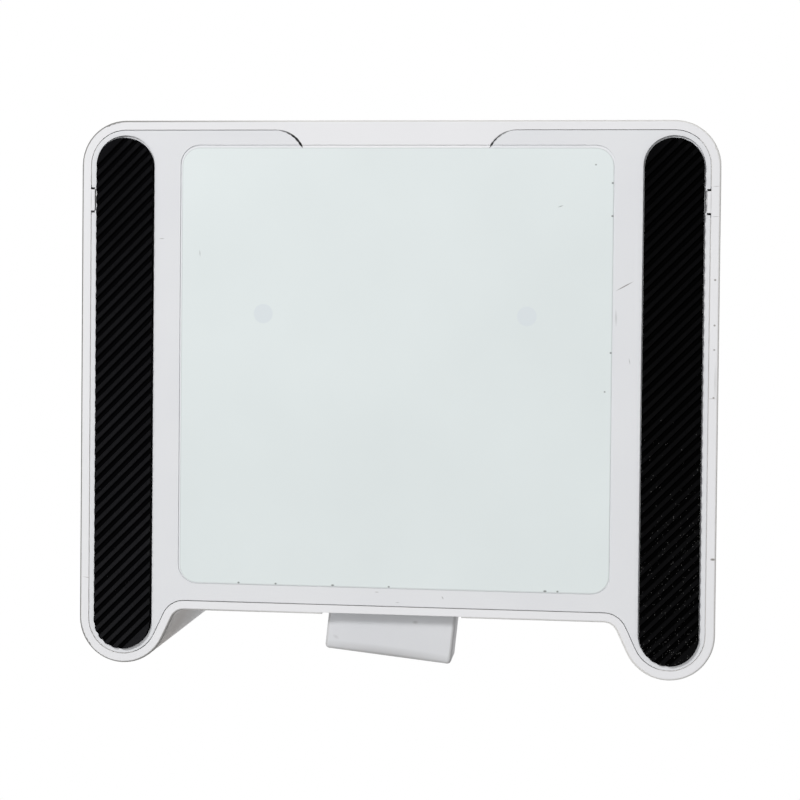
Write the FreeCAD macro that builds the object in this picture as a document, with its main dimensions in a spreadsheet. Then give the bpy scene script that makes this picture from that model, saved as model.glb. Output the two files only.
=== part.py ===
import FreeCAD, Part
import math
import os
import re
import Sketcher

# Robot vacuum charging dock, in millimetres.
# It stands on its two rubber strips at z = 0, with +Z up. The robot drives in from -Y,
# between the two wings, and pushes on the floating contact nose. The power cable comes
# in through the pocket at +Y. The origin is under the middle of the dock.

sizes = {
    # housing
    "width": 150.0,
    "body_depth": 116.0,
    "toe_reach": 13.0,
    "height": 92.0,
    "corner_radius": 10.6,
    "wing_angle": 25.0,
    "wing_fillet": 3.2,
    "top_round": 7.0,
    "rim_round": 0.6,
    "wall": 2.2,
    "foot_height": 1.2,
    # base plate, and the thin seam round it
    "plate_thickness": 2.4,
    "seam": 0.12,
    "plate_round": 0.2,
    # rubber strips with slanting ribs
    "strip_width": 13.55,
    "strip_slack": 0.3,
    "strip_creep": 0.3,
    "strip_sink": 0.8,
    "rib_pitch": 2.02,
    "rib_angle": 45.0,
    "groove_depth": 0.6,
    "groove_mouth": 1.2,
    "groove_floor": 0.45,
    # film in its recess
    "film_width": 101.3,
    "film_length": 103.0,
    "film_inset": 6.15,
    "film_radius": 4.25,
    "film_thickness": 0.2,
    "film_recess": 0.3,
    "film_margin": 0.4,
    "film_creep": 0.25,
    # rear cable pocket, whose floor is the tongue in the base plate
    "pocket_width": 42.5,
    "pocket_depth": 20.0,
    "pocket_height": 31.0,
    "pocket_radius": 3.0,
    "mouth_round": 7.0,
    # snap lugs beside the strips
    "lug_inset": 18.8,
    "lug_length": 5.0,
    "lug_gap": 0.5,
    "lug_depth": 1.25,
    "lug_height": 5.0,
    "lug_clear": 0.45,
    "lug_step": 0.7,
    "lug_fit": 0.12,
    # screws that hold the base plate
    "screw_spread": 62.0,
    "screw_inset": 45.4,
    "screw_recess_radius": 2.35,
    "screw_recess_depth": 4.0,
    "screw_head_radius": 2.15,
    "screw_head_height": 1.8,
    "screw_radius": 1.3,
    "screw_length": 14.0,
    "screw_slack": 0.06,
    "tube_radius": 4.6,
    "tube_height": 6.0,
    "post_radius": 4.0,
    # contact nose
    "nose_width": 30.4,
    "nose_height": 9.9,
    "nose_lift": 6.9,
    "nose_reach": 10.9,
    "nose_yaw": 5.8,
    "nose_wall": 1.6,
    "nose_round": 1.0,
    "nose_edge": 0.9,
    "pivot_back": 5.0,
    "ear_width": 38.0,
    "ear_back": 1.6,
    "slot_width": 33.0,
    "slot_slack": 0.4,
    "slot_relief": 0.4,
    "running_gap": 0.3,
    # charging contacts on the nose
    "contact_width": 7.0,
    "contact_spread": 17.0,
    "contact_thickness": 0.4,
    "contact_drop": 8.0,
    "tag_width": 2.4,
    "tag_height": 2.6,
    # pivot pin and slider
    "pin_radius": 2.0,
    "pin_slack": 0.06,
    "boss_radius": 4.2,
    "arm_width": 8.0,
    "arm_height": 6.0,
    "arm_play": 0.15,
    "slider_width": 28.0,
    "slider_length": 14.5,
    "slider_height": 10.0,
    "slider_lift": 3.3,
    "slide_travel": 7.0,
    "rail_width": 3.0,
    "rail_spread": 18.0,
    # spring and guide
    "spring_space": 14.0,
    "spring_radius": 2.9,
    "spring_wire": 0.8,
    "spring_turns": 4.0,
    "peg_radius": 1.9,
    "peg_length": 3.0,
    "guide_wall": 2.0,
    "guide_foot": 8.5,
    "guide_foot_lift": 2.4,
    # small screws
    "small_radius": 1.1,
    "small_head_radius": 2.3,
    "small_head_height": 1.6,
    "small_boss_radius": 3.0,
    "guide_screw_bite": 3.2,
    # front window and its light guide
    "window_width": 80.0,
    "window_drop": 15.8,
    "window_low": 38.0,
    "window_radius": 8.0,
    "window_fit": 0.15,
    "window_set": 0.2,
    "window_lip": 2.0,
    "window_lip_thickness": 1.2,
    "led_radius": 2.5,
    "led_length": 5.6,
    "led_rim_radius": 2.9,
    "led_rim_height": 1.0,
    "shroud_width": 64.0,
    "shroud_height": 18.0,
    "shroud_clear": 0.3,
    "shroud_throat": 3.2,
    "shroud_mouth": 6.5,
    # circuit board on the housing's posts
    "board_width": 68.0,
    "board_drop": 4.8,
    "board_low": 25.0,
    "board_thickness": 1.6,
    "board_stand": 10.5,
    "board_post_x": 56.0,
    "board_post_margin": 4.5,
    "board_hole_radius": 1.4,
    "board_screw_bite": 6.0,
    "header_depth": 6.0,
    "header_height": 6.0,
    "power_header_width": 8.0,
    "power_header_x": 20.0,
    "contact_header_width": 12.0,
    "header_margin": 1.5,
    # power inlet
    "jack_axis_height": 16.0,
    "jack_width": 10.0,
    "jack_height": 11.0,
    "jack_length": 13.0,
    "jack_collar_radius": 4.0,
    "jack_collar_length": 5.8,
    "jack_bore_radius": 2.9,
    "jack_bore_depth": 9.0,
    "jack_pin_radius": 1.0,
    "nut_radius": 6.6,
    "nut_height": 2.2,
    # leads
    "lead_radius": 0.6,
    "lead_pitch": 4.0,
    "lead_rise": 2.5,
    # steel ballast
    "ballast_width": 50.0,
    "ballast_gap": 6.7,
    "ballast_thickness": 4.0,
    "ballast_inset": 26.0,
    "ballast_spread": 36.0,
    "spacer_radius": 4.0,
    "spacer_height": 2.0,
    # how far a cutting solid runs past what it cuts
    "overrun": 1.0,
}

# Places that follow from the sizes.
places = {
    "rear": "(body_depth + toe_reach) / 2",
    "front": "rear - body_depth",
    "front_inside": "front + wall",
    "plate_top": "foot_height + plate_thickness",
    "ceiling": "height - wall",
    "strip_x": "width / 2 - corner_radius",
    "strip_half_run": "rear - corner_radius",
    "strip_recess_radius": "strip_width / 2 + strip_slack",
    "strip_top": "foot_height + strip_sink",
    "rib_step": "rib_pitch / cos(rib_angle)",
    "rib_reach": "strip_half_run + strip_width / 2 / cos(rib_angle) - groove_mouth",
    "film_rear": "rear - film_inset",
    "film_ceiling": "foot_height + film_recess",
    "pocket_front": "rear - pocket_depth",
    "pocket_roof": "foot_height + pocket_height",
    "lug_y": "rear - lug_inset",
    "plate_edge": "width / 2 - wall - seam",
    "screw_y": "rear - screw_inset",
    "tube_top": "plate_top + tube_height",
    "screw_seat": "foot_height + screw_recess_depth",
    "pivot_y": "front + pivot_back",
    "nose_low": "foot_height + nose_lift",
    "nose_top": "nose_low + nose_height",
    "nose_tip": "0 - nose_reach - pivot_back",
    "nose_middle": "nose_low + nose_height / 2",
    "ear_swing": "ear_width / 2 * sin(nose_yaw)",
    "ear_front": "ear_swing + running_gap + wall - pivot_back",
    "slot_low": "nose_low - slot_slack",
    "slot_high": "nose_top + slot_slack",
    "slider_front": "pivot_y + ear_swing + ear_back + running_gap",
    "slider_rear": "slider_front + slider_length",
    "slider_low": "plate_top + slider_lift",
    "slider_top": "slider_low + slider_height",
    "arm_low": "nose_middle - arm_height / 2",
    "arm_high": "nose_middle + arm_height / 2",
    "guide_front": "slider_front + slide_travel",
    "guide_stop": "slider_rear + spring_space",
    "guide_rear": "guide_stop + guide_wall",
    "guide_half": "slider_width / 2 + running_gap",
    "guide_roof": "slider_top + running_gap",
    "guide_foot_low": "plate_top + guide_foot_lift",
    "guide_screw_x": "guide_half + guide_wall + guide_foot / 2",
    "spring_axis": "slider_low + slider_height / 2",
    "window_high": "ceiling - window_drop",
    "window_middle": "(window_low + window_high) / 2",
    "led_spread": "shroud_width * 3 / 8",
    "board_front": "front_inside + board_stand",
    "board_back": "board_front + board_thickness",
    "board_high": "ceiling - board_drop",
    "header_low": "board_low + header_margin",
    "ballast_rear": "rear - ballast_inset",
    "ballast_low": "plate_top + spacer_height",
    "ballast_top": "ballast_low + ballast_thickness",
    "ballast_front": "guide_rear + ballast_gap",
    "ballast_middle": "(ballast_front + ballast_rear) / 2",
}

doc = FreeCAD.newDocument("charging_dock")
sheet = doc.addObject("Spreadsheet::Sheet", "Sizes")
for row, (alias, value) in enumerate(sizes.items(), start=1):
    sheet.set(f"A{row}", alias)
    sheet.set(f"B{row}", str(value))
    sheet.setAlias(f"B{row}", alias)
doc.recompute()


def formula(text):
    """Spell out a text of sizes and places as an expression on the sheet."""
    def spell(match):
        word = match.group(0)
        if word in sizes:
            return f"Sizes.{word}"
        if word in places:
            return f"({formula(places[word])})"
        return word
    return re.sub(r"[a-z_]+", spell, text)


def number(text):
    return float(sheet.evalExpression(formula(text)))


def minus(text):
    return f"0 - ({text})"


def both(text):
    """The span from minus a half size to plus it."""
    return (minus(text), text)


# Plain solids, each bound to the sheet

def box(name, x, y, z):
    solid = doc.addObject("Part::Box", name)
    for side, axis, (low, high) in zip(("Length", "Width", "Height"), "xyz", (x, y, z)):
        solid.setExpression(side, formula(f"({high}) - ({low})"))
        solid.setExpression(f"Placement.Base.{axis}", formula(low))
    return solid


turned_to = {
    "z": FreeCAD.Rotation(),
    "y": FreeCAD.Rotation(FreeCAD.Vector(1, 0, 0), -90),
}


def stand(solid, axis, x, y, z):
    """Turn a round solid to its axis and bind its foot."""
    solid.Placement = FreeCAD.Placement(FreeCAD.Vector(), turned_to[axis])
    for coordinate, text in zip("xyz", (x, y, z)):
        solid.setExpression(f"Placement.Base.{coordinate}", formula(text))
    return solid


def rod(name, axis, x, y, z, radius, length):
    solid = doc.addObject("Part::Cylinder", name)
    solid.setExpression("Radius", formula(radius))
    solid.setExpression("Height", formula(length))
    return stand(solid, axis, x, y, z)


def fuse(name, *pieces):
    solid = doc.addObject("Part::MultiFuse", name)
    solid.Shapes = list(pieces)
    solid.Refine = True
    return solid


def cut(name, base, *tools):
    solid = doc.addObject("Part::Cut", name)
    solid.Base = base
    solid.Tool = tools[0] if len(tools) == 1 else fuse(f"{name}_cuts", *tools)
    solid.Refine = True
    return solid


def group(name, *solids):
    pieces = doc.addObject("Part::Compound", name)
    pieces.Links = list(solids)
    return pieces


# Sketches of tangent lines and arcs

def new_body(name):
    return doc.addObject("PartDesign::Body", name)


def origin_part(body, role):
    return next(part for part in body.Origin.OriginFeatures if part.Role == role)


def new_sketch(body, name, role, lift):
    sketch = body.newObject("Sketcher::SketchObject", name)
    sketch.AttachmentSupport = (origin_part(body, role), [""])
    sketch.MapMode = "FlatFace"
    sketch.setExpression("AttachmentOffset.Base.z", formula(lift))
    return sketch


def line(x1, y1, x2, y2):
    return Part.LineSegment(FreeCAD.Vector(x1, y1, 0), FreeCAD.Vector(x2, y2, 0))


def arc(x, y, radius, start, end):
    circle = Part.Circle(FreeCAD.Vector(x, y, 0), FreeCAD.Vector(0, 0, 1), radius)
    return Part.ArcOfCircle(circle, math.radians(start), math.radians(end))


def close_loop(sketch, pieces):
    """Add (curve, runs_backwards) pairs and join each to the next, tangent where one is an arc."""
    for curve, _ in pieces:
        sketch.addGeometry(curve)
    for index, (curve, backwards) in enumerate(pieces):
        after = (index + 1) % len(pieces)
        next_curve, next_backwards = pieces[after]
        arcs = [isinstance(c, Part.ArcOfCircle) for c in (curve, next_curve)]
        kind = "Tangent" if any(arcs) else "Coincident"
        end = 1 if backwards else 2
        start = 2 if next_backwards else 1
        sketch.addConstraint(Sketcher.Constraint(kind, index, end, after, start))


def measure(sketch, kind, curve, point, text):
    """Bind a distance from the origin, or a radius, to the sheet."""
    value = number(text)
    if kind == "Radius":
        constraint = Sketcher.Constraint(kind, curve, value)
    else:
        constraint = Sketcher.Constraint(kind, -1, 1, curve, point, value)
    index = sketch.addConstraint(constraint)
    sketch.setExpression(f"Constraints[{index}]", formula(text))


def rounded_rectangle(sketch, x, y, radius):
    left, right = number(x[0]), number(x[1])
    low, high = number(y[0]), number(y[1])
    r = number(radius)
    close_loop(sketch, [
        (line(left + r, low, right - r, low), False),
        (arc(right - r, low + r, r, -90, 0), False),
        (line(right, low + r, right, high - r), False),
        (arc(right - r, high - r, r, 0, 90), False),
        (line(right - r, high, left + r, high), False),
        (arc(left + r, high - r, r, 90, 180), False),
        (line(left, high - r, left, low + r), False),
        (arc(left + r, low + r, r, 180, 270), False),
    ])
    for side in (0, 4):
        sketch.addConstraint(Sketcher.Constraint("Horizontal", side))
    for side in (2, 6):
        sketch.addConstraint(Sketcher.Constraint("Vertical", side))
    for first, second in ((1, 3), (3, 5), (5, 7)):
        sketch.addConstraint(Sketcher.Constraint("Equal", first, second))
    measure(sketch, "Radius", 1, 0, radius)
    measure(sketch, "DistanceY", 0, 1, y[0])
    measure(sketch, "DistanceY", 4, 1, y[1])
    measure(sketch, "DistanceX", 2, 1, x[1])
    measure(sketch, "DistanceX", 6, 1, x[0])


def stadium(sketch, radius, half_run):
    """Two half circles joined by straights along Y."""
    r = number(radius)
    run = number(half_run)
    close_loop(sketch, [
        (arc(0, run, r, 0, 180), False),
        (line(-r, run, -r, -run), False),
        (arc(0, -run, r, 180, 360), False),
        (line(r, -run, r, run), False),
    ])
    sketch.addConstraint(Sketcher.Constraint("Vertical", 1))
    sketch.addConstraint(Sketcher.Constraint("PointOnObject", 0, 3, -2))
    measure(sketch, "Radius", 0, 0, radius)
    measure(sketch, "DistanceY", 0, 3, half_run)
    measure(sketch, "DistanceY", 2, 3, minus(half_run))


def half_outline(sketch, inset):
    """The dock's plan for x >= 0, moved in by an inset: rear corner, toe, wing and front wall."""
    d = number(inset)
    side = number("width / 2") - d
    rear = number("rear") - d
    front = number("front") + d
    angle = number("wing_angle")
    r = number("corner_radius") - d
    fillet = number("wing_fillet") + d
    centre_x = number("strip_x")
    centre_y = number("strip_half_run")
    lean_x = math.cos(math.radians(angle))
    lean_y = math.sin(math.radians(angle))
    toe_x = centre_x - r * lean_x
    toe_y = -centre_y - r * lean_y
    fillet_y = front - fillet
    run = (fillet_y + fillet * lean_y - toe_y) / lean_x
    wing_x = toe_x - run * lean_y
    wing_y = toe_y + run * lean_x
    fillet_x = wing_x - fillet * lean_x
    close_loop(sketch, [
        (line(0, rear, centre_x, rear), False),
        (arc(centre_x, centre_y, r, 0, 90), True),
        (line(side, centre_y, side, -centre_y), False),
        (arc(centre_x, -centre_y, r, 180 + angle, 360), True),
        (line(toe_x, toe_y, wing_x, wing_y), False),
        (arc(fillet_x, fillet_y, fillet, angle, 90), False),
        (line(fillet_x, front, 0, front), False),
        (line(0, front, 0, rear), False),
    ])
    for flat in (0, 6):
        sketch.addConstraint(Sketcher.Constraint("Horizontal", flat))
    sketch.addConstraint(Sketcher.Constraint("Vertical", 2))
    sketch.addConstraint(Sketcher.Constraint("PointOnObject", 7, 1, -2))
    sketch.addConstraint(Sketcher.Constraint("PointOnObject", 7, 2, -2))
    measure(sketch, "DistanceY", 0, 1, f"rear - ({inset})")
    measure(sketch, "DistanceX", 2, 1, f"width / 2 - ({inset})")
    measure(sketch, "Radius", 1, 0, f"corner_radius - ({inset})")
    measure(sketch, "Radius", 3, 0, f"corner_radius - ({inset})")
    measure(sketch, "DistanceY", 3, 3, minus("strip_half_run"))
    measure(sketch, "Radius", 5, 0, f"wing_fillet + ({inset})")
    measure(sketch, "DistanceY", 6, 1, f"front + ({inset})")
    slant = sketch.addConstraint(Sketcher.Constraint("Angle", 4, math.radians(90 + angle)))
    sketch.setExpression(f"Constraints[{slant}]", formula("90 deg + wing_angle * 1 deg"))


def half_tongue(sketch, half_width, mouth_radius, front_y, rear_y):
    """The tongue for x >= 0: straight sides that flare into the rear wall."""
    half = number(half_width)
    r = number(mouth_radius)
    front = number(front_y)
    rear = number(rear_y)
    close_loop(sketch, [
        (line(0, front, half, front), False),
        (line(half, front, half, rear - r), False),
        (arc(half + r, rear - r, r, 90, 180), True),
        (line(half + r, rear, 0, rear), False),
        (line(0, rear, 0, front), False),
    ])
    for flat in (0, 3):
        sketch.addConstraint(Sketcher.Constraint("Horizontal", flat))
    sketch.addConstraint(Sketcher.Constraint("Vertical", 1))
    sketch.addConstraint(Sketcher.Constraint("PointOnObject", 4, 1, -2))
    sketch.addConstraint(Sketcher.Constraint("PointOnObject", 4, 2, -2))
    measure(sketch, "DistanceY", 0, 1, front_y)
    measure(sketch, "DistanceY", 3, 1, rear_y)
    measure(sketch, "DistanceX", 1, 1, half_width)
    measure(sketch, "Radius", 2, 0, mouth_radius)


def pad(body, sketch, length):
    feature = body.newObject("PartDesign::Pad", f"{sketch.Name}_pad")
    feature.Profile = sketch
    feature.setExpression("Length", formula(length))
    return feature


def mirror_across_middle(body, feature):
    mirrored = body.newObject("PartDesign::Mirrored", f"{feature.Name}_mirrored")
    mirrored.Originals = [feature]
    mirrored.MirrorPlane = (origin_part(body, "YZ_Plane"), [""])
    body.Tip = mirrored
    return mirrored


def round_edges(body, feature, wanted, radius):
    doc.recompute()
    names = [f"Edge{i}" for i, edge in enumerate(feature.Shape.Edges, start=1) if wanted(edge)]
    fillet = body.newObject("PartDesign::Fillet", f"{feature.Name}_round")
    fillet.Base = (feature, names)
    fillet.setExpression("Radius", formula(radius))
    return fillet


def outline_block(name, inset, low, high, top_radius=None, low_radius=None):
    """A solid of the dock's plan, moved in by an inset, with its top and lower edges rounded."""
    body = new_body(name)
    sketch = new_sketch(body, f"{name}_plan", "XY_Plane", low)
    half_outline(sketch, inset)
    whole = mirror_across_middle(body, pad(body, sketch, f"({high}) - ({low})"))
    if top_radius:
        top = number(high)
        whole = round_edges(body, whole, lambda e: abs(e.BoundBox.ZMin - top) < 1e-6, top_radius)
    if low_radius:
        foot = number(low)
        round_edges(body, whole, lambda e: abs(e.BoundBox.ZMax - foot) < 1e-6, low_radius)
    return body


def tongue_block(name, half_width, mouth_radius, front_y, rear_y, low, high):
    body = new_body(name)
    sketch = new_sketch(body, f"{name}_plan", "XY_Plane", low)
    half_tongue(sketch, half_width, mouth_radius, front_y, rear_y)
    mirror_across_middle(body, pad(body, sketch, f"({high}) - ({low})"))
    return body


def rounded_slab(name, x, y, z, radius):
    """A plate lying flat, with rounded corners."""
    body = new_body(name)
    sketch = new_sketch(body, f"{name}_plan", "XY_Plane", z[0])
    rounded_rectangle(sketch, x, y, radius)
    pad(body, sketch, f"({z[1]}) - ({z[0]})")
    return body


def rounded_panel(name, x, y, z, radius):
    """A plate standing upright across Y, with rounded corners. Its sketch faces -Y."""
    body = new_body(name)
    sketch = new_sketch(body, f"{name}_face", "XZ_Plane", minus(y[1]))
    rounded_rectangle(sketch, x, z, radius)
    pad(body, sketch, f"({y[1]}) - ({y[0]})")
    return body


def stadium_slab(name, side, y, z, radius, half_run):
    body = new_body(name)
    sketch = new_sketch(body, f"{name}_plan", "XY_Plane", z[0])
    stadium(sketch, radius, half_run)
    pad(body, sketch, f"({z[1]}) - ({z[0]})")
    body.setExpression("Placement.Base.x", formula(f"{side} * strip_x"))
    body.setExpression("Placement.Base.y", formula(y))
    return body


def film_slab(name, margin, low, high, creep="0"):
    half = f"film_width / 2 + {margin}"
    y = (f"film_rear - film_length - {margin} - {creep}", f"film_rear + {margin} - {creep}")
    return rounded_slab(name, both(half), y, (low, high), f"film_radius + {margin}")


def screw(name, axis, x, y, seat, head_radius, head_height, radius, length, points):
    """A pan-head screw. Its head stands on the seat and its shank points 1 or -1 along the axis."""
    head_foot = f"({seat}) - {head_height}" if points > 0 else seat
    shank_foot = seat if points > 0 else f"({seat}) - ({length})"
    if axis == "z":
        head = rod(f"{name}_head", "z", x, y, head_foot, head_radius, head_height)
        shank = rod(f"{name}_shank", "z", x, y, shank_foot, radius, length)
    else:
        head = rod(f"{name}_head", "y", x, head_foot, y, head_radius, head_height)
        shank = rod(f"{name}_shank", "y", x, shank_foot, y, radius, length)
    return fuse(name, head, shank)


sides = {"left": "1", "right": "-1"}


def housing():
    outer = outline_block("housing_outer", "0", "foot_height", "height", "top_round", "rim_round")
    cavity = outline_block("housing_cavity", "wall", "foot_height - overrun", "ceiling", "top_round - wall")
    shell = cut("housing_shell", outer, cavity)

    inner_rear = "rear - wall"
    tongue = tongue_block("pocket_floor", "pocket_width / 2", "mouth_round + seam", "pocket_front",
                          inner_rear, "foot_height", "plate_top")
    pocket = box("pocket_walls", both("pocket_width / 2"), ("pocket_front", inner_rear),
                 ("foot_height", "pocket_roof"))
    added = [shell, tongue, pocket]
    removed = [
        rounded_panel("pocket_hollow", both("pocket_width / 2 - wall"),
                      ("pocket_front + wall", "rear + overrun"),
                      ("plate_top", "pocket_roof - wall"), "pocket_radius"),
        rod("jack_hole", "y", "0", "pocket_front - overrun", "jack_axis_height",
            "jack_collar_radius + screw_slack", "wall + 2 * overrun"),
        film_slab("film_recess_in_tongue", "film_margin", "foot_height - overrun", "film_ceiling"),
        box("nose_slot", both("slot_width / 2"), ("front - overrun", "front_inside + overrun"),
            ("slot_low", "slot_high")),
        box("slot_relief_cut", both("slot_width / 2"), ("front - overrun", "front + slot_relief"),
            ("foot_height - overrun", "slot_high")),
        rounded_panel("window_opening", both("window_width / 2 + window_fit"),
                      ("front - overrun", "front_inside + overrun"),
                      ("window_low - window_fit", "window_high + window_fit"),
                      "window_radius + window_fit"),
    ]
    for side, sign in sides.items():
        # the lug's tip stands back from the plate, its root fills the notch
        for level, clear, step in (("tip", "lug_clear", "0"), ("root", "lug_fit", "lug_step")):
            lug_x = (f"plate_edge - lug_depth + {clear}", "width / 2 - wall / 2")
            if sign == "-1":
                lug_x = (minus(lug_x[1]), minus(lug_x[0]))
            added.append(box(f"lug_{level}_{side}", lug_x,
                             ("lug_y - lug_length / 2", "lug_y + lug_length / 2"),
                             (f"foot_height + {step}", "foot_height + lug_height")))
        post_x = f"{sign} * screw_spread / 2"
        added.append(rod(f"base_post_{side}", "z", post_x, "screw_y", "tube_top", "post_radius",
                         "ceiling - tube_top + wall / 2"))
        removed.append(rod(f"base_pilot_{side}", "z", post_x, "screw_y", "tube_top - overrun",
                           "screw_radius + screw_slack", "screw_length + overrun"))
        for level, z in (("low", "board_low + board_post_margin"), ("high", "board_high - board_post_margin")):
            x = f"{sign} * board_post_x / 2"
            added.append(rod(f"board_post_{side}_{level}", "y", x, "front + wall / 2", z,
                             "small_boss_radius", "board_stand + wall / 2"))
            removed.append(rod(f"board_pilot_{side}_{level}", "y", x, "board_front - board_screw_bite", z,
                               "small_radius + screw_slack", "board_screw_bite + overrun"))
    return cut("housing", fuse("housing_moulding", *added), *removed)


def base_plate():
    plate = outline_block("plate_blank", "wall + seam", "foot_height", "plate_top", low_radius="plate_round")
    added = [plate]
    removed = [
        film_slab("film_recess_in_plate", "film_margin", "foot_height - overrun", "film_ceiling"),
        tongue_block("tongue_notch", "pocket_width / 2 + seam", "mouth_round", "pocket_front - seam",
                     "rear - wall - seam", "foot_height - overrun", "plate_top + overrun"),
        box("tongue_notch_mouth", both("pocket_width / 2 + seam + mouth_round"),
            ("rear - wall - seam", "rear"), ("foot_height - overrun", "plate_top + overrun")),
    ]
    below = "foot_height - overrun"
    for side, sign in sides.items():
        removed.append(stadium_slab(f"strip_recess_{side}", sign, "0", (below, "strip_top"),
                                    "strip_recess_radius", "strip_half_run"))
        notch_x = ("plate_edge - lug_depth", "plate_edge + overrun")
        if sign == "-1":
            notch_x = (minus(notch_x[1]), minus(notch_x[0]))
        reach = "lug_length / 2 + lug_gap"
        removed.append(box(f"lug_notch_{side}", notch_x, (f"lug_y - ({reach})", f"lug_y + {reach}"),
                           (below, "plate_top + overrun")))
        x = f"{sign} * screw_spread / 2"
        added.append(rod(f"screw_tube_{side}", "z", x, "screw_y", "foot_height + plate_thickness / 2",
                         "tube_radius", "tube_height + plate_thickness / 2"))
        removed.append(rod(f"screw_recess_{side}", "z", x, "screw_y", below, "screw_recess_radius",
                           "screw_recess_depth + overrun"))
        removed.append(rod(f"screw_bore_{side}", "z", x, "screw_y", below, "screw_radius + screw_slack",
                           "tube_height + plate_thickness + 2 * overrun"))
        rail = f"{sign} * rail_spread / 2"
        added.append(box(f"rail_{side}", (f"{rail} - rail_width / 2", f"{rail} + rail_width / 2"),
                         ("guide_front", "guide_stop"),
                         ("foot_height + plate_thickness / 2", "slider_low - running_gap")))
        for end, y in guide_screw_rows.items():
            foot_x = f"{sign} * guide_screw_x"
            added.append(rod(f"guide_boss_{side}_{end}", "z", foot_x, y, "foot_height + plate_thickness / 2",
                             "small_boss_radius", "guide_foot_lift + plate_thickness / 2"))
            removed.append(rod(f"guide_pilot_{side}_{end}", "z", foot_x, y,
                               "guide_foot_low - guide_screw_bite", "small_radius + screw_slack",
                               "guide_screw_bite + overrun"))
        spacer_x = f"{sign} * ballast_spread / 2"
        added.append(rod(f"ballast_spacer_{side}", "z", spacer_x, "ballast_middle",
                         "foot_height + plate_thickness / 2", "spacer_radius",
                         "spacer_height + plate_thickness / 2"))
        removed.append(rod(f"ballast_pilot_{side}", "z", spacer_x, "ballast_middle",
                           "ballast_low - guide_screw_bite", "small_radius + screw_slack",
                           "guide_screw_bite + overrun"))
    return cut("base_plate", fuse("plate_moulding", *added), *removed)


guide_screw_rows = {
    "front": "guide_front + small_boss_radius + running_gap",
    "rear": "guide_rear - small_boss_radius - running_gap",
}


def foot_strip(side, sign):
    """A rubber strip; slanting grooves leave the ribs, whose flat crests stand on the floor."""
    name = f"foot_strip_{side}"
    body = stadium_slab(name, sign, minus("strip_creep"), ("0", "strip_top"), "strip_width / 2",
                        "strip_half_run")
    doc.recompute()
    sketch = body.newObject("Sketcher::SketchObject", f"{name}_groove")
    sketch.AttachmentSupport = (origin_part(body, "XZ_Plane"), [""])
    sketch.MapMode = "FlatFace"
    sketch.AttachmentOffset = FreeCAD.Placement(
        FreeCAD.Vector(), FreeCAD.Rotation(FreeCAD.Vector(0, 1, 0), number("rib_angle")))
    count = "2 * floor(rib_reach / rib_step) + 1"
    first = "0 - floor(rib_reach / rib_step) * rib_step"
    sketch.setExpression("AttachmentOffset.Base.z", formula(minus(first)))
    mouth = number("groove_mouth / 2")
    floor = number("groove_floor / 2")
    depth = number("groove_depth")
    close_loop(sketch, [
        (line(-mouth, 0, mouth, 0), False),
        (line(mouth, 0, floor, depth), False),
        (line(floor, depth, -floor, depth), False),
        (line(-floor, depth, -mouth, 0), False),
    ])
    sketch.addConstraint(Sketcher.Constraint("Horizontal", 2))
    measure(sketch, "DistanceX", 0, 1, minus("groove_mouth / 2"))
    measure(sketch, "DistanceX", 0, 2, "groove_mouth / 2")
    measure(sketch, "DistanceY", 0, 1, "0")
    measure(sketch, "DistanceY", 0, 2, "0")
    measure(sketch, "DistanceX", 2, 1, "groove_floor / 2")
    measure(sketch, "DistanceX", 2, 2, minus("groove_floor / 2"))
    measure(sketch, "DistanceY", 2, 1, "groove_depth")
    groove = body.newObject("PartDesign::Pocket", f"{name}_groove_cut")
    groove.Profile = sketch
    groove.Type = "ThroughAll"
    groove.Midplane = True
    pattern = body.newObject("PartDesign::LinearPattern", f"{name}_grooves")
    pattern.Originals = [groove]
    pattern.Direction = (origin_part(body, "Y_Axis"), [""])
    pattern.setExpression("Length", formula(f"({count} - 1) * rib_step"))
    pattern.setExpression("Occurrences", formula(count))
    body.Tip = pattern
    return body


def bottom_film():
    return film_slab("bottom_film", "0", "film_ceiling - film_thickness", "film_ceiling", "film_creep")


def base_screws():
    return group("base_screws", *[
        screw(f"base_screw_{side}", "z", f"{sign} * screw_spread / 2", "screw_y", "screw_seat",
              "screw_head_radius", "screw_head_height", "screw_radius", "screw_length", 1)
        for side, sign in sides.items()])


nose_placement = "placement(vector(0; pivot_y; 0); rotation(vector(0; 0; 1); nose_yaw))"


def on_nose(solid):
    """Turn a piece drawn about the pivot to where the nose rests."""
    solid.setExpression("Placement", formula(nose_placement))
    return solid


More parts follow.
